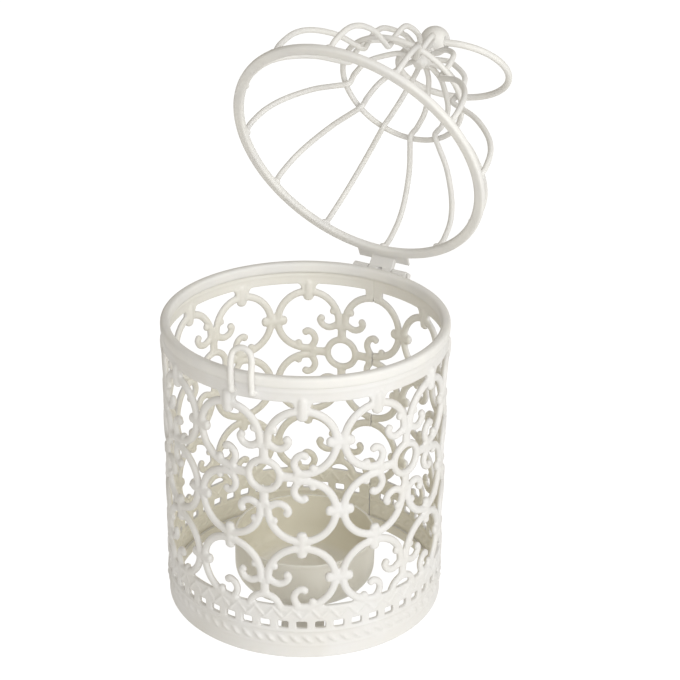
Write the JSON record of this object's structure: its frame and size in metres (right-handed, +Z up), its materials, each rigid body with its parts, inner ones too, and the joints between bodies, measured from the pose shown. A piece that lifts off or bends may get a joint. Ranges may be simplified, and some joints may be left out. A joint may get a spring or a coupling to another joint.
{
  "type": "birdcage candle lantern",
  "caption": "Pierced round metal lantern with a hinged domed wire lid shown open, a ball finial with a ring handle, a wire latch and a tealight cup.",
  "frame": {"origin": "centre of the base, on the surface the lantern stands on", "axes": "+Z up; -Y is the front, facing the picture's camera; the lid's hinge is at the back, about 30 degrees to the right of +Y"},
  "size_m": [0.0994, 0.1256, 0.1618],
  "materials": {
    "cream_paint": "satin"
  },
  "bodies": {
    "body": {"cage_wall": "cream_paint", "rim_bead": "cream_paint", "foot_hoop": "cream_paint", "base_strap": "cream_paint", "tealight_cup": "cream_paint", "cup_rivet_front": "cream_paint", "cup_rivet_back": "cream_paint", "hinge_body_leaf": "cream_paint", "hinge_pin": "cream_paint"},
    "lid": {"hinge_lid_leaf": "cream_paint", "lid_ring": "cream_paint", "lid_rib_01": "cream_paint", "lid_rib_02": "cream_paint", "lid_rib_03": "cream_paint", "lid_rib_04": "cream_paint", "lid_rib_05": "cream_paint", "lid_rib_06": "cream_paint", "lid_rib_07": "cream_paint", "lid_rib_08": "cream_paint", "lid_rib_09": "cream_paint", "lid_rib_10": "cream_paint", "lid_rib_11": "cream_paint", "lid_rib_12": "cream_paint", "crown_ring": "cream_paint", "crown_hub": "cream_paint", "ball_finial": "cream_paint"},
    "handle": {"handle_ring": "cream_paint"},
    "latch": {"latch_loop": "cream_paint"}
  },
  "joints": [
    {"name": "lid_hinge", "type": "hinge", "parent": "body", "child": "lid", "pos_m": [0.02106, 0.03692, 0.083], "axis": [-0.8686, 0.4955, 0], "range_deg": [-64.5, 0]},
    {"name": "handle_swing", "type": "hinge", "parent": "lid", "child": "handle", "pos_m": [0.03572, 0.06262, 0.1442], "axis": [-0.9001, 0.4028, -0.1659], "range_deg": [-190, 62]},
    {"name": "latch_swing", "type": "hinge", "parent": "body", "child": "latch", "pos_m": [-0.01512, -0.03562, 0.0798], "axis": [0.9205, -0.3907, 0], "range_deg": [0, 25]}
  ]
}
